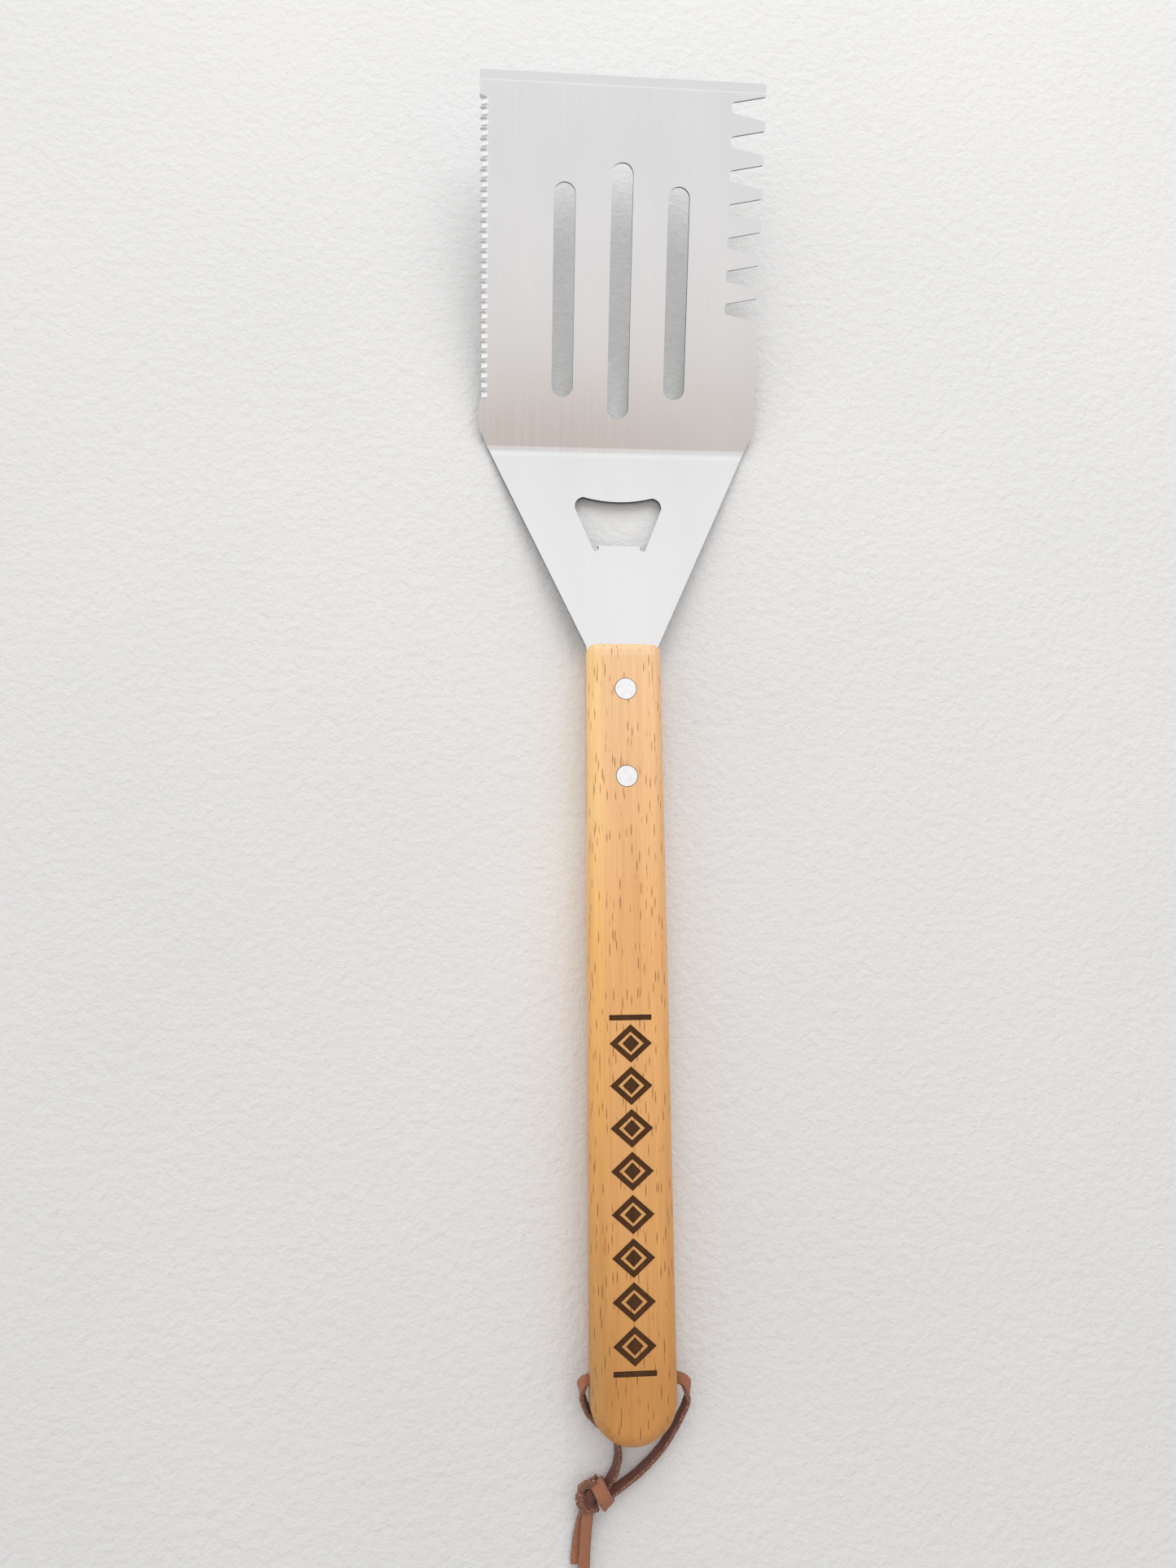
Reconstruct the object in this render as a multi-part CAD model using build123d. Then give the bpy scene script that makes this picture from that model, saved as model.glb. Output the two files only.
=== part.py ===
from build123d import *

import os
from math import cos, pi, radians, sin, tan

# Grill spatula with a bottle opener in its neck and a leather hanging thong.
# Millimetres, +Z up, +Y towards the blade's front edge, +X to the right seen from above.
# It lies as it does on a table: the handle's flat underside and the blade's heel both touch z = 0.
# While it is drawn, y = 0 is the front face of the handle; at the end every solid is moved so that
# the origin is under the middle of the tool.

# Handle
HANDLE_LENGTH = 261.6
HANDLE_FRONT_WIDTH = 25.4
HANDLE_REAR_WIDTH = 28.2
HANDLE_THICKNESS = 18.5
HANDLE_TOP_ROUND = 4.8      # round-over of the top along the sides and the end
HANDLE_UNDER_ROUND = 8.5    # deeper round-over underneath, where the thong tucks in at the end
HANDLE_FRONT_ROUND = 2.6    # smaller round-over of the front face
HANDLE_MIDDLE = HANDLE_THICKNESS / 2

# Steel plate
PLATE = 1.5
TANG_LENGTH = 60.0
TANG_GAP = 0.25             # between the tang and the sawn slot, each face
TANG_RECESS = 0.4           # the tang's edges stay this far inside the handle's sides
MOUTH_BEND = 1.2            # the neck starts to drop this far in front of the handle
NECK_DROP = 6.85            # degrees down from the handle to the heel
BLADE_RISE = 17.6           # degrees up from the heel to the front edge
BEND_RADIUS = 9.0           # middle of the plate, at the heel and at the handle
BLADE_LENGTH = 126.0        # bend line to front edge
BLADE_WIDTH = 99.0
NECK_WIDTH = 25.0           # where it meets the handle
HEEL_CORNER = 8.4           # the blade's sides start to taper this far in front of the bend line
FRONT_BEVEL = 3.7           # ground band behind the front edge
FRONT_EDGE = 0.45           # thickness left at the front edge
CORNER_ROUND = 0.5

# Slots in the blade: distance from the middle, length
SLOT_WIDTH = 7.6
SLOT_CENTRE = 55.2          # from the bend line
SLOTS = [(-20.0, 71.8), (0.0, 86.0), (20.0, 71.8)]

# Toothed right edge
NOTCH_COUNT = 7
NOTCH_PITCH = 11.07
NOTCH_FIRST = 8.5           # first notch's middle, from the front edge
NOTCH_DEPTH = 11.9
NOTCH_ROOT = 3.4
NOTCH_MOUTH = 8.1
NOTCH_ROUND = 1.2
TOOTH_ROUND = 0.7

# Serrated left edge: hollows ground into the top face with a small wheel
HOLLOW_COUNT = 30
HOLLOW_PITCH = 3.32
HOLLOW_FIRST = 10.4         # first hollow's middle, from the front edge
HOLLOW_WHEEL = 2.2          # radius
HOLLOW_TOP = 3.0            # how far in the hollow starts on the top face
HOLLOW_BOTTOM = 1.0         # how far in it comes out on the underside

# Bottle opener in the neck; distances back from the bend line
OPENER_TOP = 17.3
OPENER_BULGE = 19.1
OPENER_BULGE_RADIUS = 45.0
OPENER_TOP_WIDTH = 34.4
OPENER_TOP_ROUND = 3.7
OPENER_TONGUE = 36.0
OPENER_TONGUE_WIDTH = 15.2
POCKET_BACK = 36.85
POCKET_SPACING = 16.8
POCKET_RADIUS = 1.1

# Rivets
RIVET_WIDTH = 7.1
RIVET_SHANK = 5.0
RIVET_HEAD = 3.0            # depth of each head
RIVET_GAP = 0.2
RIVET_FRONT = 16.0          # behind the handle's front face
RIVET_REAR = 45.8

# Burnt decoration: a chain of lozenges sunk into the top face
CHAIN_COUNT = 8
CHAIN_START = 127.5         # behind the handle's front face
CHAIN_PITCH = 13.6
LOZENGE_LENGTH = 12.4
LOZENGE_WIDTH = 14.0
LOZENGE_LINE = 1.8
CENTRE_WIDTH = 4.0
RULE_GAP = 1.6
BURN_DEPTH = 0.3

# Leather thong and its hole
THONG_WIDTH = 3.6
BORE = 5.0
BORE_BACK = 242.1           # behind the handle's front face
BORE_EDGE = 0.6             # chamfer at each mouth
STRAND_START = 10.0         # from the middle of the handle, inside the bore
KNOT_CENTRE = (-12.1, -279.4, 4.5)
KNOT_RADII = (5.7, 5.5, 4.4)
KNOT_POCKET = 2.2           # radius of the flat-bottomed pocket each strand ends in

LEFT_ROUTE = [
    (-STRAND_START, -BORE_BACK, HANDLE_MIDDLE),
    (-14.6, -BORE_BACK, HANDLE_MIDDLE),
    (-17.0, -245.5, 8.3),
    (-16.8, -250.2, 6.0),
    (-15.2, -254.9, 3.4),
    (-11.0, -259.2, 2.1),
    (-6.8, -262.2, 1.9),
    (-2.6, -266.2, 1.9),
    (-4.5, -272.0, 2.2),
    (-8.8, -276.0, 2.7),
]
RIGHT_ROUTE = [
    (STRAND_START, -BORE_BACK, HANDLE_MIDDLE),
    (16.0, -BORE_BACK, HANDLE_MIDDLE),
    (18.8, -247.8, 7.4),
    (17.4, -254.3, 4.6),
    (13.2, -261.9, 2.7),
    (7.4, -269.6, 2.4),
    (0.5, -276.2, 3.8),
    (-7.1, -279.5, 5.6),
]
SHORT_TAIL_ROUTE = [
    (-15.5, -283.0, 2.5),
    (-16.4, -287.5, 1.95),
    (-17.1, -292.2, 1.9),
    (-17.8, -296.8, 1.95),
    (-18.3, -301.2, 1.9),
]
LONG_TAIL_ROUTE = [
    (-13.2, -283.2, 6.3),
    (-13.8, -288.1, 5.4),
    (-14.3, -293.2, 5.1),
    (-14.6, -298.3, 5.0),
    (-14.7, -303.3, 4.6),
    (-14.7, -308.1, 3.4),
]


def heel_height(run_after_mouth):
    """Height of the plate's middle line after a given run down the neck."""
    return HANDLE_MIDDLE - run_after_mouth * sin(radians(NECK_DROP))


def neck_run():
    """Run from the mouth bend to the bend line that brings the heel's underside down to z = 0."""
    tangent = BEND_RADIUS * tan(radians(NECK_DROP + BLADE_RISE) / 2)
    drop = HANDLE_MIDDLE - PLATE / 2 - BEND_RADIUS * (1 - cos(radians(NECK_DROP)))
    return drop / sin(radians(NECK_DROP)) + tangent


def middle_line():
    """Corner points (y, z) of the plate's middle line, from the tang's end to the front edge."""
    bend_y = MOUTH_BEND + neck_run() * cos(radians(NECK_DROP))
    bend_z = heel_height(neck_run())
    front_y = bend_y + BLADE_LENGTH * cos(radians(BLADE_RISE))
    front_z = bend_z + BLADE_LENGTH * sin(radians(BLADE_RISE))
    return [
        Vector(0, -TANG_LENGTH, HANDLE_MIDDLE),
        Vector(0, MOUTH_BEND, HANDLE_MIDDLE),
        Vector(0, bend_y, bend_z),
        Vector(0, front_y, front_z),
    ]


def plate_face(distance):
    """Side-view line of one face of the plate, `distance` above the middle line, bends rounded."""
    corners = middle_line()
    runs = [(after - before).normalized() for before, after in zip(corners, corners[1:])]
    normals = [Vector(0, -run.Z, run.Y) for run in runs]
    before_bend = [normals[0]] + normals
    after_bend = normals + [normals[-1]]
    points = []
    for corner, first, second in zip(corners, before_bend, after_bend):
        points.append(corner + (first + second) * (distance / (1 + first.dot(second))))
    return FilletPolyline(*points, radius=[BEND_RADIUS + distance, BEND_RADIUS - distance])


def blade_plane():
    """Middle plane of the blade: origin on the bend line, local Y up the blade, local Z off its top."""
    slope = radians(BLADE_RISE)
    return Plane(origin=middle_line()[2], x_dir=(1, 0, 0), z_dir=(0, -sin(slope), cos(slope)))


def neck_plane():
    """Middle plane of the neck: origin on the bend line, local -Y runs back to the handle."""
    slope = radians(NECK_DROP)
    return Plane(origin=middle_line()[2], x_dir=(1, 0, 0), z_dir=(0, sin(slope), cos(slope)))


def bent_strip():
    """The plate as a strip of the blade's full width, bent but not yet trimmed."""
    top = plate_face(PLATE / 2)
    bottom = plate_face(-PLATE / 2)
    ends = [Line(top @ 0, bottom @ 0), Line(top @ 1, bottom @ 1)]
    side_view = make_face(Curve() + [top, bottom] + ends)
    return extrude(side_view, BLADE_WIDTH / 2, both=True)


def neck_outline():
    """Plan of tang, neck and heel: one straight taper from the blade's corners to the handle."""
    tang = HANDLE_FRONT_WIDTH / 2 - TANG_RECESS
    neck = NECK_WIDTH / 2
    wide = BLADE_WIDTH / 2
    heel = middle_line()[2].Y + HEEL_CORNER * cos(radians(BLADE_RISE))
    front = middle_line()[3].Y + BLADE_LENGTH
    right = [(tang, -TANG_LENGTH), (tang, -2.0), (neck, 0.3), (wide, heel), (wide, front)]
    left = [(-x, y) for x, y in reversed(right)]
    return Polygon(*right, *left, align=None)


def notch_outline():
    """One tapered notch of the toothed edge, its middle at the origin and its mouth to the right."""
    beyond = 4.0
    spread = beyond * (NOTCH_MOUTH - NOTCH_ROOT) / 2 / NOTCH_DEPTH
    outer = NOTCH_MOUTH / 2 + spread
    root = NOTCH_ROOT / 2
    notch = Polygon((0, -root), (NOTCH_DEPTH + beyond, -outer), (NOTCH_DEPTH + beyond, outer),
                    (0, root), align=None)
    return fillet(notch.vertices().group_by(Axis.X)[0], NOTCH_ROUND)


def blade_outline():
    """Blade seen square on, in the blade's own plane, running far enough back to keep the neck."""
    back = -2 * (BLADE_LENGTH + TANG_LENGTH)
    height = BLADE_LENGTH - back
    half = BLADE_WIDTH / 2
    outline = Pos(0, back + height / 2) * Rectangle(BLADE_WIDTH, height)
    for index in range(NOTCH_COUNT):
        middle = BLADE_LENGTH - NOTCH_FIRST - index * NOTCH_PITCH
        outline -= Pos(half - NOTCH_DEPTH, middle) * notch_outline()
    tips = [corner for corner in outline.vertices() if corner.X > half - 0.1 and corner.Y > 0]
    outline = fillet(tips, TOOTH_ROUND)
    front_left = outline.vertices().group_by(Axis.Y)[-1].sort_by(Axis.X)[0]
    outline = fillet(front_left, CORNER_ROUND)
    for across, length in SLOTS:
        outline -= Pos(across, SLOT_CENTRE) * SlotOverall(length, SLOT_WIDTH, rotation=90)
    return outline


def opener_outline():
    """Bottle opener in the neck's plane: bulged top edge, slanted sides, tongue between two pockets."""
    top = OPENER_TOP_WIDTH / 2
    pocket = POCKET_SPACING / 2
    across = top - pocket
    along = POCKET_BACK - OPENER_TOP
    slant = Vector(across, along).normalized()
    touch_x = pocket + POCKET_RADIUS * slant.Y
    touch_y = -POCKET_BACK - POCKET_RADIUS * slant.X
    tongue = OPENER_TONGUE_WIDTH / 2
    right = [(top, -OPENER_TOP), (touch_x, touch_y), (pocket, -POCKET_BACK), (tongue, -OPENER_TONGUE)]
    left = [(-x, y) for x, y in reversed(right)]
    hole = Polygon(*right, *left, align=None)
    hole = fillet(hole.vertices().group_by(Axis.Y)[-1], OPENER_TOP_ROUND)
    hole -= Pos(0, OPENER_BULGE_RADIUS - OPENER_BULGE) * Circle(OPENER_BULGE_RADIUS)
    for side in (-1, 1):
        hole += Pos(side * pocket, -POCKET_BACK) * Circle(POCKET_RADIUS)
    return hole


def front_grind():
    """Wedge ground off the top face behind the front edge, in the blade's own plane."""
    beyond = 1.0
    drop = (PLATE - FRONT_EDGE) / FRONT_BEVEL
    half = PLATE / 2
    wedge = Polygon((BLADE_LENGTH - FRONT_BEVEL, half),
                    (BLADE_LENGTH + beyond, half - drop * (FRONT_BEVEL + beyond)),
                    (BLADE_LENGTH + beyond, PLATE),
                    (BLADE_LENGTH - FRONT_BEVEL, PLATE), align=None)
    return extrude(Plane.YZ * wedge, BLADE_WIDTH, both=True)


def hollow_grinds():
    """The small wheel's slanted paths that leave the serrated left edge."""
    slope = Vector(HOLLOW_BOTTOM - HOLLOW_TOP, 0, -PLATE).normalized()
    off_face = Vector(slope.Z, 0, -slope.X)
    start = Vector(HOLLOW_TOP - BLADE_WIDTH / 2, 0, PLATE / 2) + off_face * HOLLOW_WHEEL
    path = Plane(origin=start, z_dir=slope)
    wheel = path * Cylinder(HOLLOW_WHEEL, 30.0)
    first = BLADE_LENGTH - HOLLOW_FIRST
    return [Pos(0, first - index * HOLLOW_PITCH, 0) * wheel for index in range(HOLLOW_COUNT)]


def blade():
    """Blade, neck and tang: one bent plate."""
    reach = BLADE_LENGTH + TANG_LENGTH
    plate = bent_strip() & extrude(neck_outline(), reach, both=True)
    plate &= blade_plane() * extrude(blade_outline(), reach, both=True)
    plate -= neck_plane() * extrude(opener_outline(), 4 * PLATE, both=True)
    plate -= blade_plane() * front_grind()
    plate -= [blade_plane() * grind for grind in hollow_grinds()]
    for back in (RIVET_FRONT, RIVET_REAR):
        plate -= Pos(0, -back, HANDLE_MIDDLE) * Cylinder(RIVET_SHANK / 2 + RIVET_GAP, 4 * PLATE)
    return plate


def handle_blank():
    """Handle before sawing and drilling: tapered plan, round end, rounded all along."""
    front = HANDLE_FRONT_WIDTH / 2
    rear = HANDLE_REAR_WIDTH / 2
    round_end = HANDLE_LENGTH - rear
    outline = Polygon((front, 0), (-front, 0), (-rear, -round_end), (rear, -round_end), align=None)
    outline += Pos(0, -round_end) * Circle(rear)
    blank = extrude(outline, HANDLE_THICKNESS)
    for end, radius in ((-1, HANDLE_TOP_ROUND), (0, HANDLE_UNDER_ROUND)):
        face = blank.faces().sort_by(Axis.Z)[end]
        blank = fillet([edge for edge in face.edges() if edge.center().Y < -1], radius)
    return fillet(blank.faces().sort_by(Axis.Y)[-1].edges(), HANDLE_FRONT_ROUND)


def burnt_chain():
    """Plain chain of lozenges with solid centres, closed by a rule at each end."""
    outer = Polygon((0, LOZENGE_LENGTH / 2), (-LOZENGE_WIDTH / 2, 0), (0, -LOZENGE_LENGTH / 2),
                    (LOZENGE_WIDTH / 2, 0))
    inner = offset(outer, -LOZENGE_LINE, kind=Kind.INTERSECTION)
    centre = Rot(0, 0, 45) * Rectangle(CENTRE_WIDTH, CENTRE_WIDTH)
    link = outer - inner + centre
    chain = []
    for index in range(CHAIN_COUNT):
        chain.append(Pos(0, -CHAIN_START - (index + 0.5) * CHAIN_PITCH) * link)
    length = CHAIN_COUNT * CHAIN_PITCH
    for back in (CHAIN_START - RULE_GAP, CHAIN_START + length + RULE_GAP):
        chain.append(Pos(0, -back) * Rectangle(LOZENGE_WIDTH, LOZENGE_LINE))
    return chain


def rivet_space(gap):
    """Headed rivet shape on the z axis, grown by `gap` all round; its ends stay flush."""
    shape = Cylinder(RIVET_SHANK / 2 + gap, HANDLE_THICKNESS)
    head = Cylinder(RIVET_WIDTH / 2 + gap, RIVET_HEAD + gap)
    lift = (HANDLE_THICKNESS - RIVET_HEAD - gap) / 2
    return Pos(0, 0, HANDLE_MIDDLE) * (shape + Pos(0, 0, lift) * head + Pos(0, 0, -lift) * head)


def bore_mouth():
    """Half the handle's width where the thong's hole comes out."""
    taper = (HANDLE_REAR_WIDTH - HANDLE_FRONT_WIDTH) / 2 / (HANDLE_LENGTH - HANDLE_REAR_WIDTH / 2)
    return HANDLE_FRONT_WIDTH / 2 + taper * BORE_BACK


def countersink():
    """Softened mouth of the thong's hole, widening along +Z through the origin."""
    return Cone(BORE / 2, BORE / 2 + 2 * BORE_EDGE, 2 * BORE_EDGE)


def handle():
    """Wooden handle: sawn for the tang, drilled for two rivets, bored across for the thong."""
    wood = handle_blank()
    saw_length = TANG_LENGTH + 2 * TANG_GAP
    saw = Box(2 * HANDLE_REAR_WIDTH, 2 * saw_length, PLATE + 2 * TANG_GAP)
    wood -= Pos(0, 0, HANDLE_MIDDLE) * saw
    for back in (RIVET_FRONT, RIVET_REAR):
        wood -= Pos(0, -back, 0) * rivet_space(RIVET_GAP)
    drill = Rot(0, 90, 0) * Cylinder(BORE / 2, 2 * HANDLE_REAR_WIDTH)
    wood -= Pos(0, -BORE_BACK, HANDLE_MIDDLE) * drill
    for side in (-1, 1):
        wood -= Pos(side * bore_mouth(), -BORE_BACK, HANDLE_MIDDLE) * Rot(0, side * 90, 0) * countersink()
    burn = Plane.XY.offset(HANDLE_THICKNESS - BURN_DEPTH)
    for mark in burnt_chain():
        wood -= extrude(burn * mark, 2 * BURN_DEPTH)
    return wood


def rivet(back):
    """One aluminium rivet, flush with both faces of the handle."""
    return Pos(0, -back, 0) * rivet_space(0)


def bore_stretch():
    """The thong's straight stretch inside the handle."""
    tube = Rot(0, 90, 0) * Cylinder(THONG_WIDTH / 2, 2 * STRAND_START)
    return Pos(0, -BORE_BACK, HANDLE_MIDDLE) * tube


def thong_tube(name, route):
    """Tube of straight runs joined by tangent arcs; prints its arc radii, length and volume ratio."""
    points = [Vector(*point) for point in route]
    radii = []
    for before, corner, after in zip(points, points[1:], points[2:]):
        shorter = min((corner - before).length, (after - corner).length)
        turn = (corner - before).get_angle(after - corner)
        radii.append(0.45 * shorter / tan(radians(turn) / 2))
    path = FilletPolyline(*points, radius=radii)
    section = Plane(origin=points[0], z_dir=points[1] - points[0]) * Circle(THONG_WIDTH / 2)
    tube = sweep(section, path=path)
    expected = pi * THONG_WIDTH ** 2 / 4 * path.length
    print(name, "length", round(path.length, 1), "radii", [round(radius, 1) for radius in radii],
          "volume ratio", round(tube.volume / expected, 4))
    return tube


def knot():
    """The overhand knot as one closed pebble, with a flat-bottomed pocket for each strand's end."""
    ball = Pos(*KNOT_CENTRE) * scale(Sphere(1), by=KNOT_RADII)
    entries = [(LEFT_ROUTE[-1], LEFT_ROUTE[-2]), (RIGHT_ROUTE[-1], RIGHT_ROUTE[-2]),
               (SHORT_TAIL_ROUTE[0], SHORT_TAIL_ROUTE[1]), (LONG_TAIL_ROUTE[0], LONG_TAIL_ROUTE[1])]
    for end, outside in entries:
        outward = Vector(*outside) - Vector(*end)
        pocket = extrude(Plane(origin=end, z_dir=outward) * Circle(KNOT_POCKET), 6.0)
        ball -= pocket
    return ball


def sub_parts():
    """Every solid by its node name, in drawing position."""
    return {
        "blade": blade(),
        "handle": handle(),
        "rivet_front": rivet(RIVET_FRONT),
        "rivet_rear": rivet(RIVET_REAR),
        "lanyard_bore_stretch": bore_stretch(),
        "lanyard_left_strand": thong_tube("left strand", LEFT_ROUTE),
        "lanyard_right_strand": thong_tube("right strand", RIGHT_ROUTE),
        "lanyard_knot": knot(),
        "lanyard_tail_short": thong_tube("short tail", SHORT_TAIL_ROUTE),
        "lanyard_tail_long": thong_tube("long tail", LONG_TAIL_ROUTE),
    }


def main():
    os.makedirs("parts", exist_ok=True)
    shapes = sub_parts()
    front = shapes["blade"].bounding_box().max.Y
    middle = (front - HANDLE_LENGTH) / 2
    print("origin is", round(-middle, 3), "mm behind the handle's front face")
    for name, shape in shapes.items():
        moved = Pos(0, -middle, 0) * shape
        box = moved.bounding_box()
        print(name, "solids", len(moved.solids()), "volume", round(moved.volume, 1),
              "low", [round(value, 2) for value in box.min], "high", [round(value, 2) for value in box.max])
        export_step(moved, os.path.join("parts", name + ".step"))


main()
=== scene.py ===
from math import cos, pi, radians, sin

import bpy
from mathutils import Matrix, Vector, noise


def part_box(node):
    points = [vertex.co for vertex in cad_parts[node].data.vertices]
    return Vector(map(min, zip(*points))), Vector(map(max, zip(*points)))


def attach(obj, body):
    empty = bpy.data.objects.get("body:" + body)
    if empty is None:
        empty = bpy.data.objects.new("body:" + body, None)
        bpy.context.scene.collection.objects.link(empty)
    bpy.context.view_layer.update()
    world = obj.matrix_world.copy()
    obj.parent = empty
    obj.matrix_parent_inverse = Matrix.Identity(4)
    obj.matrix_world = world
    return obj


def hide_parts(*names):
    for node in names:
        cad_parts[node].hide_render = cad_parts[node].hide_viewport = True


# Looks of the grill spatula. Metres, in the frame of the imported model: +Z up, +Y towards the
# blade's front edge, the tool lying on z = 0.

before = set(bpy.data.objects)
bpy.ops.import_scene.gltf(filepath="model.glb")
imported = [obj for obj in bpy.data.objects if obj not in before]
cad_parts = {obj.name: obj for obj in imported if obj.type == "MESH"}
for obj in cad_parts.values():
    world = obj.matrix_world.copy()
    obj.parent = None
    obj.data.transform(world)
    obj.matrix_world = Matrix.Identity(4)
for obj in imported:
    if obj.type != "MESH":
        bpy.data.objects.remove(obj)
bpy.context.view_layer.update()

HANDLE_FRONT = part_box("handle")[1][1]
HANDLE_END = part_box("handle")[0][1]
HANDLE_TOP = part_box("handle")[1][2]
HEEL_LINE = 0.1073              # bend between neck and blade
BEVEL_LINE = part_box("blade")[1][1] - 0.0035     # ground front edge begins here
HOLLOWS_FROM = -0.0460          # the serrated edge's hollows lie beyond this

# Camera
CAMERA_PLACE = (-0.0551, -0.0666, 0.4496)
CAMERA_TURN = (6.90, -5.48, -0.59)
CAMERA_LENS = 29.9

# Lamp and floor
WINDOW_PLACE = (0.08, 0.80, 0.75)
WINDOW_SIZE = 0.8
WINDOW_POWER = 5.0
WINDOW_COLOUR = (1.0, 0.995, 0.985)
FLOOR_SIZE = 3.0
FLOOR_DROP = 0.0002             # keeps the floor clear of the faces that lie on it

# Thong: flat strip, and its routes as distances from the middle of the handle's front face
THONG_WIDTH = 0.0036
THONG_THICKNESS = 0.0016
RAGGED = 0.00016                # how far the cut edges wander
EDGE_GRAIN = 1400.0             # wanders and swells per metre
SWELL_GRAIN = 600.0

LEFT_ROUTE = [
    (-0.0100, -0.2421, 0.00925),
    (-0.0140, -0.2418, 0.00930),
    (-0.0161, -0.2427, 0.0091),
    (-0.0165, -0.2452, 0.0084),
    (-0.0159, -0.2485, 0.0070),
    (-0.0147, -0.2520, 0.0051),
    (-0.0125, -0.2555, 0.0034),
    (-0.0085, -0.2588, 0.0025),
    (-0.0051, -0.2620, 0.0023),
    (-0.0038, -0.2662, 0.0023),
    (-0.0042, -0.2702, 0.0024),
    (-0.0058, -0.2744, 0.0028),
    (-0.0086, -0.2776, 0.0034),
]
RIGHT_ROUTE = [
    (-0.0100, -0.2421, 0.00925),
    (0.0000, -0.2421, 0.00925),
    (0.0100, -0.2421, 0.00925),
    (0.0148, -0.2422, 0.00925),
    (0.0178, -0.2435, 0.0091),
    (0.0186, -0.2472, 0.0082),
    (0.0184, -0.2508, 0.0069),
    (0.0168, -0.2549, 0.0052),
    (0.0146, -0.2594, 0.0040),
    (0.0115, -0.2646, 0.0032),
    (0.0073, -0.2693, 0.0029),
    (0.0027, -0.2735, 0.0029),
    (-0.0023, -0.2767, 0.0033),
    (-0.0075, -0.2795, 0.0042),
]
SHORT_TAIL_ROUTE = [
    (-0.0138, -0.2818, 0.0030),
    (-0.0154, -0.2856, 0.0020),
    (-0.0165, -0.2896, 0.0014),
    (-0.0173, -0.2937, 0.0013),
    (-0.0179, -0.2980, 0.0013),
    (-0.0181, -0.3012, 0.0013),
]
LONG_TAIL_ROUTE = [
    (-0.0134, -0.2816, 0.0033),
    (-0.0143, -0.2850, 0.0036),
    (-0.0148, -0.2893, 0.0036),
    (-0.0152, -0.2941, 0.0033),
    (-0.0155, -0.2990, 0.0032),
    (-0.0157, -0.3035, 0.0028),
    (-0.0158, -0.3073, 0.0021),
]
# Roll of the strip about its line: (share of the length, degrees); 0 lays it flat, smooth side up
LEFT_ROLL = [
    (0.0, 0), (0.08, -14), (0.24, -106), (0.45, -116), (0.60, -264), (0.78, -254), (1.0, -240),
]
RIGHT_ROLL = [(0.0, 0), (0.31, 2), (0.48, 102), (0.62, 108), (0.85, 110), (1.0, 122)]
SHORT_TAIL_ROLL = [(0.0, 20), (0.4, 12), (1.0, 6)]
LONG_TAIL_ROLL = [(0.0, 0), (0.5, -6), (1.0, -10)]

# Knot: a broad wrap over both strands, a raw loop on the tails' side, and what fills it
WRAP_CENTRE = (-0.0095, -0.2788, 0.0047)
WRAP_AXIS = (-0.88, -0.47, 0.0)
WRAP_WIDTH = 0.0046
WRAP_ALONG_RADIUS = 0.0036
WRAP_HEIGHT_RADIUS = 0.0030
LOOP_ROUTE = [
    (-0.0108, -0.2765, 0.0052),
    (-0.0134, -0.2755, 0.0054),
    (-0.0160, -0.2763, 0.0052),
    (-0.0168, -0.2794, 0.0049),
    (-0.0160, -0.2824, 0.0045),
    (-0.0136, -0.2834, 0.0042),
    (-0.0110, -0.2824, 0.0040),
]
LOOP_ROLL = [(0.0, 30), (0.5, 48), (1.0, 32)]
CORE_ROUTES = [
    [
        (-0.0095, -0.2765, 0.0036),
        (-0.0126, -0.2785, 0.0050),
        (-0.0138, -0.2802, 0.0050),
        (-0.0137, -0.2830, 0.0047),
    ],
    [
        (-0.0105, -0.2752, 0.0028),
        (-0.0140, -0.2768, 0.0034),
        (-0.0152, -0.2795, 0.0032),
        (-0.0130, -0.2820, 0.0028),
    ],
]
CORE_ROLL = [(0.0, -165), (0.5, -190), (1.0, -175)]

# Burnt chain of lozenges sunk in the handle's top, as in the model
CHAIN_START = 0.1275            # behind the handle's front face
CHAIN_COUNT = 8
CHAIN_PITCH = 0.0136
LOZENGE_LENGTH = 0.0124
LOZENGE_WIDTH = 0.0140


def in_frame(point):
    """A point given from the handle's front face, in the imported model's frame."""
    return Vector((point[0], point[1] + HANDLE_FRONT, point[2]))


# Camera

def make_camera():
    data = bpy.data.cameras.new("camera")
    data.lens = CAMERA_LENS
    data.sensor_width = 36.0
    data.clip_start = 0.01
    camera = bpy.data.objects.new("camera", data)
    camera.location = CAMERA_PLACE
    camera.rotation_euler = [radians(angle) for angle in CAMERA_TURN]
    bpy.context.scene.collection.objects.link(camera)
    bpy.context.scene.camera = camera


# Node helpers

def add(tree, kind, inputs=None, **settings):
    """New node in a tree; inputs maps socket names to values or to sockets to link from."""
    node = tree.nodes.new(kind)
    for name, value in settings.items():
        setattr(node, name, value)
    for name, value in (inputs or {}).items():
        if isinstance(value, bpy.types.NodeSocket):
            tree.links.new(value, node.inputs[name])
        else:
            node.inputs[name].default_value = value
    return node


def maths(tree, operation, first, second=0.0):
    """Math node's result for one or two values or sockets."""
    return add(tree, "ShaderNodeMath", {0: first, 1: second}, operation=operation).outputs[0]


def times(tree, product, *others):
    """Product of two or more values or sockets."""
    for other in others:
        product = maths(tree, "MULTIPLY", product, other)
    return product


def plus(tree, first, second):
    return maths(tree, "ADD", first, second)


def minus(tree, first, second):
    return maths(tree, "SUBTRACT", first, second)


def split(tree, vector):
    """A vector's three numbers, by the names X, Y and Z."""
    return add(tree, "ShaderNodeSeparateXYZ", {"Vector": vector}).outputs


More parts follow.
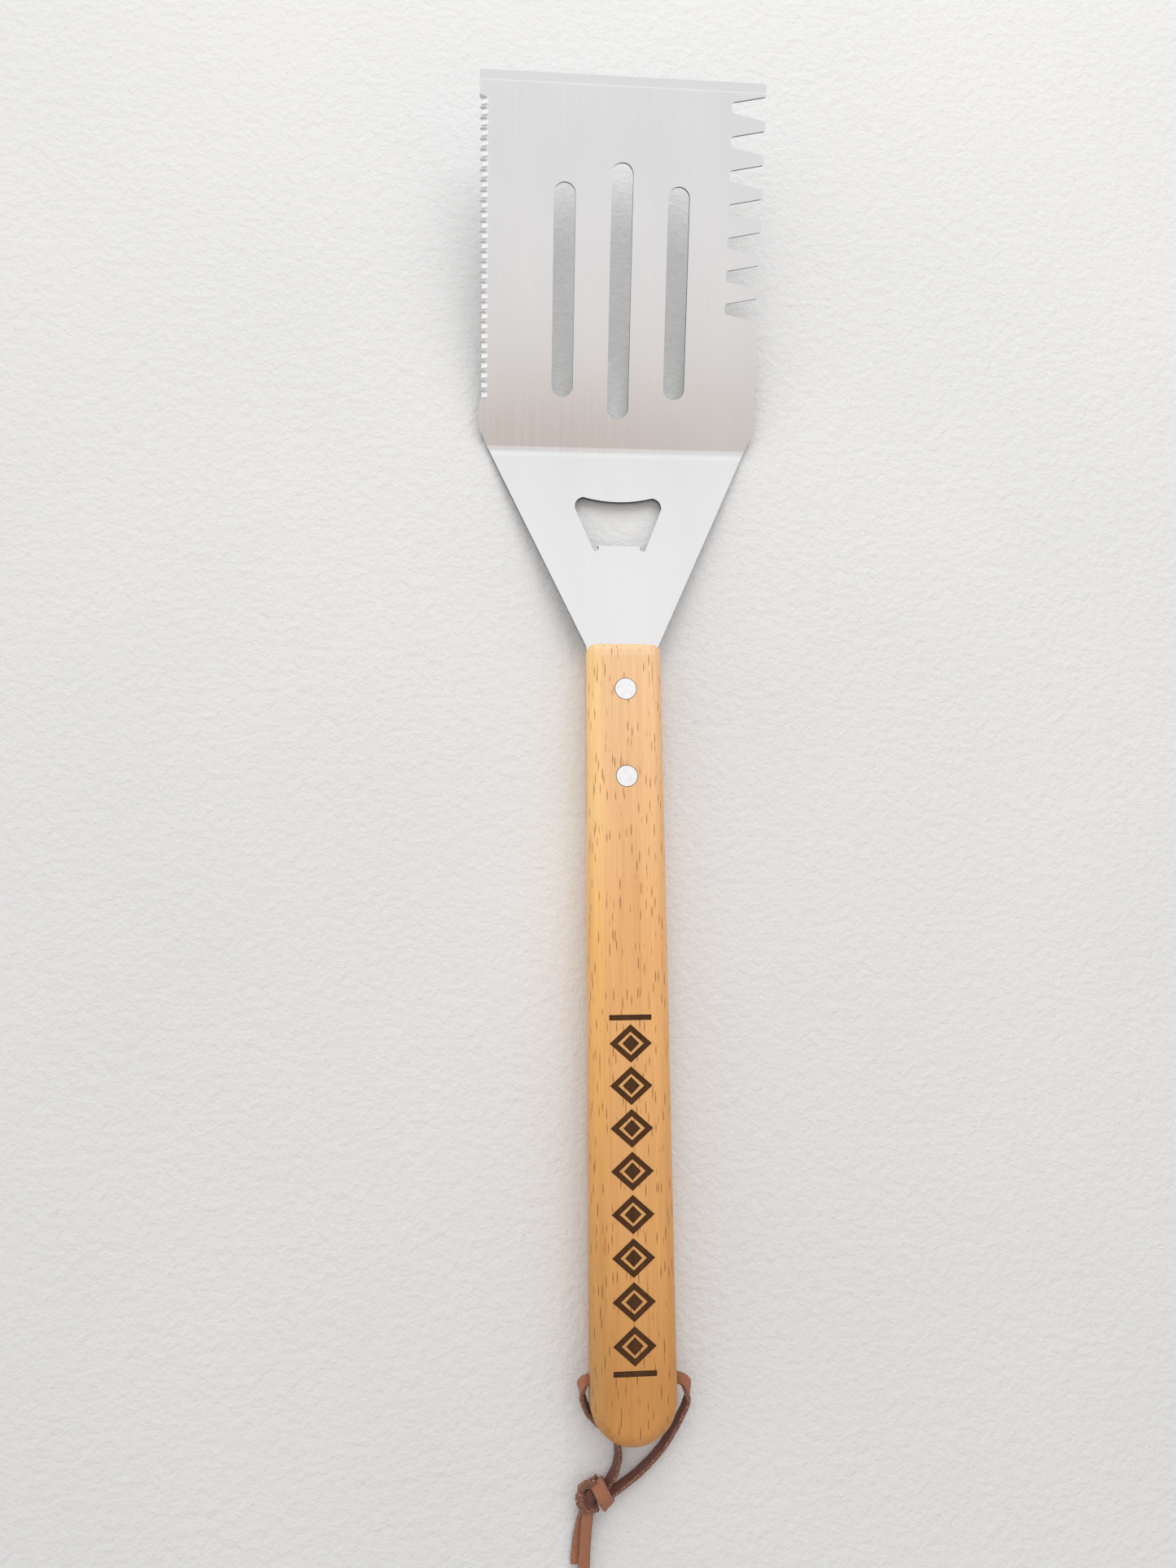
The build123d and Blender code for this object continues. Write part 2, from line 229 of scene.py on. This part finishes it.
def ramp(tree, value, stops):
    """Colour ramp's result; stops are (place, colour) with grey given as one number."""
    node = add(tree, "ShaderNodeValToRGB", {"Fac": value})
    elements = node.color_ramp.elements
    while len(elements) < len(stops):
        elements.new(1.0)
    for element, (place, colour) in zip(elements, stops):
        element.position = place
        red, green, blue = colour if isinstance(colour, tuple) else (colour, colour, colour)
        element.color = (red, green, blue, 1.0)
    return node.outputs["Color"]


def between(tree, value, low, high, smooth=True):
    """0 at low and 1 at high, with a smooth or straight step in between; low may exceed high."""
    kind = "SMOOTHSTEP" if smooth else "LINEAR"
    node = add(tree, "ShaderNodeMapRange", {"Value": value, "From Min": low, "From Max": high},
               interpolation_type=kind)
    return node.outputs["Result"]


def mix(tree, factor, first, second, blend="MIX"):
    """Colour mix's result."""
    node = add(tree, "ShaderNodeMix", data_type="RGBA", blend_type=blend, clamp_factor=True)
    for index, value in ((0, factor), (6, first), (7, second)):
        if isinstance(value, bpy.types.NodeSocket):
            tree.links.new(value, node.inputs[index])
        elif index == 0:
            node.inputs[0].default_value = value
        else:
            node.inputs[index].default_value = (*value, 1.0)
    return node.outputs[2]


def stretched_noise(tree, coords, scale, detail=3.0, roughness=0.5):
    """Noise whose grain differs along x, y and z; scale is in features per metre."""
    mapping = add(tree, "ShaderNodeMapping", {"Vector": coords, "Scale": scale})
    node = add(tree, "ShaderNodeTexNoise", {"Vector": mapping.outputs[0], "Scale": 1.0,
                                            "Detail": detail, "Roughness": roughness})
    return node.outputs["Fac"]


def new_material(name):
    """A node material, its tree, its Principled shader and its object coordinates."""
    material = bpy.data.materials.new(name)
    material.use_nodes = True
    tree = material.node_tree
    shader = tree.nodes["Principled BSDF"]
    coords = add(tree, "ShaderNodeTexCoord").outputs["Object"]
    return material, tree, shader, coords


def bump(tree, shader, height, distance, strength):
    """Fine relief on a shader; distance is in metres."""
    node = add(tree, "ShaderNodeBump", {"Height": height, "Distance": distance, "Strength": strength})
    tree.links.new(node.outputs[0], shader.inputs["Normal"])


# Light and floor

def light_world():
    """Soft daylight room: bright beyond the blade and on the left, brownish towards the handle."""
    world = bpy.data.worlds.new("soft_room")
    world.use_nodes = True
    tree = world.node_tree
    direction = split(tree, add(tree, "ShaderNodeTexCoord").outputs["Generated"])
    along = between(tree, direction["Y"], -1.0, 1.0, smooth=False)
    colour = ramp(tree, along, [
        (0.00, (0.60, 0.58, 0.56)),
        (0.33, (0.60, 0.56, 0.53)),
        (0.375, (0.60, 0.51, 0.455)),
        (0.395, (0.67, 0.595, 0.55)),
        (0.425, (0.95, 0.935, 0.93)),
        (0.50, (0.80, 0.80, 0.805)),
        (0.60, (1.00, 1.00, 1.00)),
        (0.78, (0.975, 0.975, 0.975)),
        (0.83, (0.84, 0.845, 0.85)),
    ])
    height = between(tree, direction["Z"], 0.10, 0.82)
    dimmed = mix(tree, height, (0.48, 0.48, 0.485), (1.0, 1.0, 1.0))
    room = mix(tree, 1.0, colour, dimmed, "MULTIPLY")
    left_glow = between(tree, direction["X"], -0.62, -0.90)
    room = mix(tree, left_glow, room, (1.15, 1.15, 1.14))
    tree.links.new(room, tree.nodes["Background"].inputs["Color"])
    tree.nodes["Background"].inputs["Strength"].default_value = 1.0
    bpy.context.scene.world = world


def make_window():
    """Soft lamp beyond the blade, aimed at the tool; metal mirrors the room and not the lamp."""
    data = bpy.data.lights.new("window", "AREA")
    data.size = WINDOW_SIZE
    data.energy = WINDOW_POWER
    data.color = WINDOW_COLOUR
    window = bpy.data.objects.new("window", data)
    window.visible_glossy = False
    window.location = WINDOW_PLACE
    window.rotation_euler = (-Vector(WINDOW_PLACE)).to_track_quat("-Z", "Y").to_euler()
    bpy.context.scene.collection.objects.link(window)


def plaster_material():
    """Pale plaster with a faint relief, for the floor."""
    material, tree, shader, coords = new_material("pale_plaster")
    broad = stretched_noise(tree, coords, (9, 9, 9), detail=5)
    fine = stretched_noise(tree, coords, (300, 300, 300), detail=6, roughness=0.65)
    colour = mix(tree, broad, (0.80, 0.805, 0.81), (0.87, 0.87, 0.87))
    tree.links.new(colour, shader.inputs["Base Color"])
    shader.inputs["Roughness"].default_value = 0.9
    bump(tree, shader, fine, 0.0012, 0.8)
    return material


def make_floor():
    bpy.ops.mesh.primitive_plane_add(size=FLOOR_SIZE, location=(0, 0, -FLOOR_DROP))
    floor = bpy.context.object
    floor.name = "floor"
    floor.data.materials.append(plaster_material())


# Thong

def route_line(name, route):
    """Points along the smooth NURBS line that has the route's points as its control points."""
    curve = bpy.data.curves.new(name + "_line", "CURVE")
    curve.dimensions = "3D"
    curve.resolution_u = 24
    spline = curve.splines.new("NURBS")
    spline.points.add(len(route) - 1)
    for control, point in zip(spline.points, route):
        control.co = (*in_frame(point), 1.0)
    spline.order_u = 3
    spline.use_endpoint_u = True
    holder = bpy.data.objects.new(name + "_line", curve)
    mesh = bpy.data.meshes.new_from_object(holder)
    points = [vertex.co.copy() for vertex in mesh.vertices]
    bpy.data.objects.remove(holder)
    bpy.data.meshes.remove(mesh)
    return points


def tangents(points):
    """Direction of the line at each of its points."""
    last = len(points) - 1
    return [(points[min(i + 1, last)] - points[max(i - 1, 0)]).normalized() for i in range(last + 1)]


def shares_along(points):
    """Share of the line's length reached at each point."""
    reached = [0.0]
    for before, after in zip(points, points[1:]):
        reached.append(reached[-1] + (after - before).length)
    return [value / reached[-1] for value in reached]


def roll_at(rolls, share):
    """Roll in radians at a share of the length, eased between the stated places."""
    for (start, first), (end, second) in zip(rolls, rolls[1:]):
        if share <= end:
            step = (share - start) / (end - start)
            eased = step * step * (3 - 2 * step)
            return radians(first + (second - first) * eased)
    return radians(rolls[-1][1])


def strip_section(width):
    """Rounded strip section: (across, up, side) with side 1 on the smooth face, 0 on the rough one."""
    half = width / 2
    deep = THONG_THICKNESS / 2
    corner = 0.35 * deep
    section = []
    for across in (-0.9, -0.45, 0.0, 0.45, 0.9):
        section.append((across * half, deep, 1.0))
    section.append((half, deep - corner, 0.6))
    section.append((half * 1.02, 0.0, 0.5))
    section.append((half, corner - deep, 0.4))
    for across in (0.9, 0.45, 0.0, -0.45, -0.9):
        section.append((across * half, -deep, 0.0))
    section.append((-half, corner - deep, 0.4))
    section.append((-half * 1.02, 0.0, 0.5))
    section.append((-half, deep - corner, 0.6))
    return section


def strip_mesh(points, frames, width, closed=False, ragged=RAGGED, raw=False):
    """Vertices, faces and side values of a leather strip.

    frames hold the strip's across and up directions at each point. closed joins the last point to
    the first, ragged is how far the cut edges wander, and raw gives the whole strip the look of a
    cut edge.
    """
    section = strip_section(width)
    vertices = []
    sides = []
    for point, (across_dir, up_dir) in zip(points, frames):
        for across, up, side in section:
            place = point + across_dir * across + up_dir * up
            edge = 1.0 - abs(side - 0.5) * 2.0
            wander = noise.noise(place * EDGE_GRAIN) * ragged * (0.25 + edge)
            place = place + across_dir * (wander if across > 0 else -wander)
            place = place + up_dir * noise.noise(place * SWELL_GRAIN) * ragged
            vertices.append(place)
            sides.append(0.5 if raw else side)
    count = len(section)
    rings = len(points)
    faces = []
    for ring in range(rings if closed else rings - 1):
        following = (ring + 1) % rings
        for corner in range(count):
            after = (corner + 1) % count
            faces.append((ring * count + corner, following * count + corner,
                          following * count + after, ring * count + after))
    if not closed:
        faces.append(tuple(range(count)))
        faces.append(tuple(reversed(range((rings - 1) * count, rings * count))))
    return vertices, faces, sides


def leather_object(name, parts, material):
    """One mesh object of several strips, with the side values kept for the leather material."""
    vertices = []
    faces = []
    sides = []
    for part_vertices, part_faces, part_sides in parts:
        offset = len(vertices)
        vertices += part_vertices
        faces += [tuple(index + offset for index in face) for face in part_faces]
        sides += part_sides
    mesh = bpy.data.meshes.new(name)
    mesh.from_pydata(vertices, [], faces)
    mesh.validate()
    attribute = mesh.attributes.new("side", "FLOAT", "POINT")
    attribute.data.foreach_set("value", sides)
    mesh.shade_smooth()
    mesh.materials.append(material)
    piece = bpy.data.objects.new(name, mesh)
    bpy.context.scene.collection.objects.link(piece)
    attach(piece, "root")
    return piece


def routed_strip(name, route, rolls, **looks):
    """Strip along a route's NURBS line, rolled about it as the list says; also the line's points."""
    points = route_line(name, route)
    upright = Vector((0, 0, 1))
    frames = []
    for direction, share in zip(tangents(points), shares_along(points)):
        beside = direction.cross(upright).normalized()
        above = beside.cross(direction)
        roll = roll_at(rolls, share)
        across_dir = beside * cos(roll) + above * sin(roll)
        frames.append((across_dir, across_dir.cross(direction)))
    return strip_mesh(points, frames, THONG_WIDTH, **looks), points


def knot_wrap():
    """Closed band of leather wrapped once round the knot's axis, smooth side outwards."""
    centre = in_frame(WRAP_CENTRE)
    axis = Vector(WRAP_AXIS).normalized()
    upright = Vector((0, 0, 1))
    along = upright.cross(axis)
    count = 72
    points = []
    frames = []
    for index in range(count):
        angle = -2 * pi * index / count
        bulge = 1.0 + 0.06 * sin(3 * angle)
        reach = along * cos(angle) * WRAP_ALONG_RADIUS + upright * sin(angle) * WRAP_HEIGHT_RADIUS
        points.append(centre + reach * bulge)
        outward = along * cos(angle) * WRAP_HEIGHT_RADIUS + upright * sin(angle) * WRAP_ALONG_RADIUS
        outward.normalize()
        lean = 0.35 * sin(angle + 0.6)
        across_dir = axis * cos(lean) + outward * sin(lean)
        up_dir = outward * cos(lean) - axis * sin(lean)
        frames.append((across_dir, up_dir))
    return strip_mesh(points, frames, WRAP_WIDTH, closed=True, ragged=0.0003)


def make_thong(material):
    """The four strips and the knot, replacing the tubes."""
    left_mesh, left_points = routed_strip("thong_left", LEFT_ROUTE, LEFT_ROLL)
    right_mesh, right_points = routed_strip("thong_right", RIGHT_ROUTE, RIGHT_ROLL)
    short_mesh, _ = routed_strip("thong_tail_short", SHORT_TAIL_ROUTE, SHORT_TAIL_ROLL)
    long_mesh, _ = routed_strip("thong_tail_long", LONG_TAIL_ROUTE, LONG_TAIL_ROLL)
    left = leather_object("thong_left", [left_mesh], material)
    right = leather_object("thong_right", [right_mesh], material)
    short = leather_object("thong_tail_short", [short_mesh], material)
    long = leather_object("thong_tail_long", [long_mesh], material)
    knot = make_knot(material)
    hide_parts("lanyard_left_strand")
    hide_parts("lanyard_right_strand", "lanyard_bore_stretch")
    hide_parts("lanyard_tail_short")
    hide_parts("lanyard_tail_long")
    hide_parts("lanyard_knot")


def make_knot(material):
    """Overhand knot: the broad wrap, the raw loop beside it, and what shows between them."""
    loop, _ = routed_strip("knot_loop", LOOP_ROUTE, LOOP_ROLL, ragged=0.0006, raw=True)
    cores = [routed_strip("knot_core", route, CORE_ROLL, ragged=0.0004)[0] for route in CORE_ROUTES]
    return leather_object("thong_knot", [knot_wrap(), loop] + cores, material)


# Materials

def leather_material():
    """Reddish-brown strip: smooth side tan, flesh side dark, cut edges rough with pale fibres."""
    material, tree, shader, coords = new_material("thong_leather")
    side = add(tree, "ShaderNodeAttribute", attribute_name="side").outputs["Fac"]
    broad = stretched_noise(tree, coords, (350, 350, 350), detail=3)
    fine = stretched_noise(tree, coords, (2600, 2600, 2600), detail=4, roughness=0.65)
    smooth_side = mix(tree, broad, (0.31, 0.120, 0.062), (0.43, 0.180, 0.095))
    flesh = mix(tree, broad, (0.10, 0.036, 0.027), (0.19, 0.075, 0.055))
    fibre = ramp(tree, fine, [(0.40, (0.10, 0.034, 0.022)), (0.53, (0.27, 0.11, 0.065)),
                              (0.64, (0.66, 0.42, 0.29))])
    off_edge = maths(tree, "ABSOLUTE", minus(tree, side, 0.5))
    edge = between(tree, off_edge, 0.45, 0.2)
    faces = mix(tree, between(tree, side, 0.35, 0.65), flesh, smooth_side)
    tree.links.new(mix(tree, edge, faces, fibre), shader.inputs["Base Color"])
    shader.inputs["Roughness"].default_value = 0.62
    shader.inputs["Specular IOR Level"].default_value = 0.35
    shader.inputs["Sheen Weight"].default_value = 0.15
    bump(tree, shader, fine, 0.0003, 0.8)
    return material


def steel_material():
    """Stainless plate brushed along its length; ground and cut faces differ from the brushed ones.
    Painted shade darkens the cut walls and the ridge flanks, and a painted reflection browns the blade
    beside the bend.
    """
    material, tree, shader, coords = new_material("brushed_stainless")
    place = split(tree, coords)
    facing = split(tree, add(tree, "ShaderNodeNewGeometry").outputs["True Normal"])

    long_lines = stretched_noise(tree, coords, (900, 6, 0), detail=2, roughness=0.6)
    short_lines = stretched_noise(tree, coords, (2600, 28, 0), detail=1)
    lines = plus(tree, times(tree, long_lines, 0.6), times(tree, short_lines, 0.4))
    tone = ramp(tree, lines, [(0.36, 0.86), (0.64, 0.88)])
    smears = stretched_noise(tree, coords, (60, 14, 60), detail=3)
    smear_tone = ramp(tree, smears, [(0.30, (0.965, 0.965, 0.975)), (0.65, (1.0, 1.0, 1.0))])
    tone = mix(tree, 1.0, tone, smear_tone, "MULTIPLY")

    # Painted reflection: brownish darkening on the blade beside the bend, deepest at the serrated edge
    near_heel = between(tree, place["Y"], HEEL_LINE + 0.034, HEEL_LINE + 0.004)
    on_blade = between(tree, place["Y"], HEEL_LINE - 0.0010, HEEL_LINE + 0.0008)
    streaky = plus(tree, times(tree, between(tree, lines, 0.38, 0.62), 0.30), 0.20)
    to_serrated = between(tree, place["X"], 0.075, -0.03)
    heel_reflection = times(tree, near_heel, on_blade, streaky, to_serrated)
    tone = mix(tree, heel_reflection, tone, (0.70, 0.62, 0.575))

    # Ground front edge
    bevel = between(tree, place["Y"], BEVEL_LINE - 0.0002, BEVEL_LINE + 0.0002)
    tone = mix(tree, times(tree, bevel, 0.5), tone, (0.66, 0.665, 0.68))

    # Painted shade: near-black on the cut walls, and on the shaded flank of each ridge between the
    # hollows
    among_hollows = between(tree, place["X"], HOLLOWS_FROM, HOLLOWS_FROM - 0.0003)
    upright_face = between(tree, maths(tree, "ABSOLUTE", facing["Z"]), 0.40, 0.33)
    cut = times(tree, upright_face, minus(tree, 1.0, among_hollows))
    ridge = times(tree, among_hollows, between(tree, facing["Y"], -0.45, -0.75))
    dark = maths(tree, "MAXIMUM", times(tree, cut, 0.9), times(tree, ridge, 0.35))
    tone = mix(tree, dark, tone, (0.07, 0.07, 0.085))
    tree.links.new(tone, shader.inputs["Base Color"])

    rough = plus(tree, times(tree, lines, 0.22), 0.17)
    rough = plus(tree, rough, times(tree, cut, 0.2))
    tree.links.new(rough, shader.inputs["Roughness"])
    shader.inputs["Metallic"].default_value = 1.0
    shader.inputs["Anisotropic"].default_value = 0.7
    across = add(tree, "ShaderNodeCombineXYZ", {"X": 1.0, "Y": 0.0, "Z": 0.0})
    tree.links.new(across.outputs[0], shader.inputs["Tangent"])
    bump(tree, shader, lines, 0.000006, 0.4)
    return material


def rivet_material():
    """Burnished aluminium with faint turning marks and rubbed patches."""
    material, tree, shader, coords = new_material("burnished_aluminium")
    rubbed = stretched_noise(tree, coords, (500, 500, 500), detail=4, roughness=0.6)
    marks = stretched_noise(tree, coords, (5200, 1400, 5200), detail=3)
    tone = ramp(tree, rubbed, [(0.35, 0.90), (0.60, 0.99)])
    tree.links.new(tone, shader.inputs["Base Color"])
    shader.inputs["Metallic"].default_value = 1.0
    rough = plus(tree, times(tree, marks, 0.2), 0.12)
    tree.links.new(rough, shader.inputs["Roughness"])
    bump(tree, shader, marks, 0.00002, 0.5)
    return material


def pores(tree, coords, cell, fleck, shown_from):
    """Dark pore flecks along the grain: 1 in a fleck, 0 elsewhere.

    cell is the width and length that one fleck has to itself, fleck its share of that, and
    shown_from is the share of cells that stay empty.
    """
    width, length = cell
    wander = stretched_noise(tree, coords, (1600, 220, 1600))
    cell_scale = (1 / width, 1 / length, 1 / width)
    scaled = add(tree, "ShaderNodeMapping", {"Vector": coords, "Scale": cell_scale})
    cells = add(tree, "ShaderNodeTexVoronoi", {"Vector": scaled.outputs[0], "Scale": 1.0})
    picked = add(tree, "ShaderNodeSeparateColor", {"Color": cells.outputs["Color"]}).outputs[0]
    shown = between(tree, picked, shown_from, shown_from + 0.04)
    reach = times(tree, plus(tree, wander, 0.5), fleck)
    near = between(tree, minus(tree, cells.outputs["Distance"], reach), 0.0, -0.5 * fleck)
    return times(tree, near, shown)


def burnt_masks(tree, place):
    """(inside a sunk mark, scorched halo round a lozenge), from height and from the chain's pattern."""
    chain_front = HANDLE_FRONT - CHAIN_START
    chain_end = chain_front - CHAIN_COUNT * CHAIN_PITCH
    bar_margin = 0.004
    across = maths(tree, "ABSOLUTE", place["X"])
    high = maths(tree, "GREATER_THAN", place["Z"], HANDLE_TOP - 0.001)

    deep = between(tree, place["Z"], HANDLE_TOP - 0.00004, HANDLE_TOP - 0.00009)
    narrow = maths(tree, "LESS_THAN", across, LOZENGE_WIDTH / 2 + 0.0003)
    after_start = maths(tree, "LESS_THAN", place["Y"], chain_front + bar_margin)
    before_end = maths(tree, "GREATER_THAN", place["Y"], chain_end - bar_margin)
    sunk = times(tree, deep, narrow, after_start, before_end, high)

    turn = maths(tree, "DIVIDE", minus(tree, chain_front, place["Y"]), CHAIN_PITCH)
    off_centre = maths(tree, "ABSOLUTE", minus(tree, maths(tree, "FRACT", turn), 0.5))
    sideways = maths(tree, "DIVIDE", across, LOZENGE_WIDTH / 2)
    lozenge = plus(tree, sideways, times(tree, off_centre, 2 * CHAIN_PITCH / LOZENGE_LENGTH))
    begun = maths(tree, "LESS_THAN", place["Y"], chain_front)
    not_over = maths(tree, "GREATER_THAN", place["Y"], chain_end)
    halo = times(tree, between(tree, lozenge, 1.12, 1.0), begun, not_over, high)
    return sunk, halo


def wood_material():
    """Light honey hardwood with pore flecks, soft growth streaks and burnt marks."""
    material, tree, shader, coords = new_material("honey_wood")
    place = split(tree, coords)
    across = maths(tree, "ABSOLUTE", place["X"])
    broad = stretched_noise(tree, coords, (70, 6, 70), detail=3)
    streaks = stretched_noise(tree, coords, (380, 8, 380), detail=5, roughness=0.62)
    fibres = stretched_noise(tree, coords, (3000, 60, 3000), detail=3)

    # Honey tone that deepens towards the end, partly the wood's own amber and partly painted shade;
    # yellower along the left edge, which is painted light
    towards_end = between(tree, place["Y"], HANDLE_FRONT, HANDLE_END + 0.02, smooth=False)
    colour = ramp(tree, towards_end, [
        (0.00, (0.97, 0.62, 0.345)),
        (0.47, (0.89, 0.475, 0.185)),
        (0.85, (0.76, 0.385, 0.130)),
        (1.00, (0.61, 0.285, 0.083)),
    ])
    colour = mix(tree, 1.0, colour, ramp(tree, broad, [(0.3, 0.95), (0.7, 1.05)]), "MULTIPLY")
    # Painted light: a lit copy of the honey tone for the left edge
    left_edge_light = ramp(tree, towards_end, [
        (0.22, (1.00, 0.65, 0.290)),
        (0.42, (0.91, 0.50, 0.165)),
        (0.66, (0.78, 0.40, 0.120)),
        (1.00, (0.53, 0.265, 0.082)),
    ])
    colour = mix(tree, between(tree, place["X"], -0.0065, -0.0105), colour, left_edge_light)

    # Paler band at the front end, across the middle of the handle
    front_band_from = plus(tree, HANDLE_FRONT - 0.0060, times(tree, streaks, 0.003))
    front_band = between(tree, minus(tree, place["Y"], front_band_from), -0.0006, 0.0010)
    front_band = times(tree, front_band, between(tree, across, 0.0122, 0.0088), 0.40)
    colour = mix(tree, front_band, colour, (1.0, 0.75, 0.50))

    # Streaks, fibres and pores
    streak_tone = ramp(tree, streaks, [
        (0.32, (0.86, 0.78, 0.70)),
        (0.50, (1.0, 1.0, 1.0)),
        (0.70, (1.04, 1.03, 1.02)),
    ])
    colour = mix(tree, 0.6, colour, streak_tone, "MULTIPLY")
    fibre_tone = ramp(tree, fibres, [(0.35, 0.90), (0.65, 1.05)])
    colour = mix(tree, 0.7, colour, fibre_tone, "MULTIPLY")
    short = pores(tree, coords, (0.0009, 0.009), 0.28, 0.06)
    long = pores(tree, coords, (0.0017, 0.036), 0.15, 0.30)
    fleck = maths(tree, "MAXIMUM", short, times(tree, long, 0.7))
    pored = mix(tree, 1.0, colour, (0.42, 0.27, 0.16), "MULTIPLY")
    colour = mix(tree, times(tree, fleck, 0.78), colour, pored)

    # Burnt marks
    sunk, halo = burnt_masks(tree, place)
    char = mix(tree, streaks, (0.018, 0.008, 0.004), (0.13, 0.052, 0.016))
    colour = mix(tree, times(tree, halo, 0.12), colour, (0.30, 0.13, 0.045))
    colour = mix(tree, sunk, colour, char)
    tree.links.new(colour, shader.inputs["Base Color"])

    rough = plus(tree, 0.45, times(tree, sunk, 0.4))
    tree.links.new(rough, shader.inputs["Roughness"])
    shader.inputs["Specular IOR Level"].default_value = 0.35
    height = minus(tree, times(tree, fibres, 0.35), fleck)
    bump(tree, shader, height, 0.00008, 0.5)
    return material


def give_material(node_name, material):
    """A CAD node keeps its shape and gets a better material."""
    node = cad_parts[node_name]
    node.data.materials.clear()
    node.data.materials.append(material)


make_camera()
light_world()
make_window()
make_floor()

make_thong(leather_material())
give_material("blade", steel_material())
give_material("handle", wood_material())
burnished = rivet_material()
for rivet_name in ("rivet_front", "rivet_rear"):
    give_material(rivet_name, burnished)

bpy.context.scene.view_settings.view_transform = "Standard"
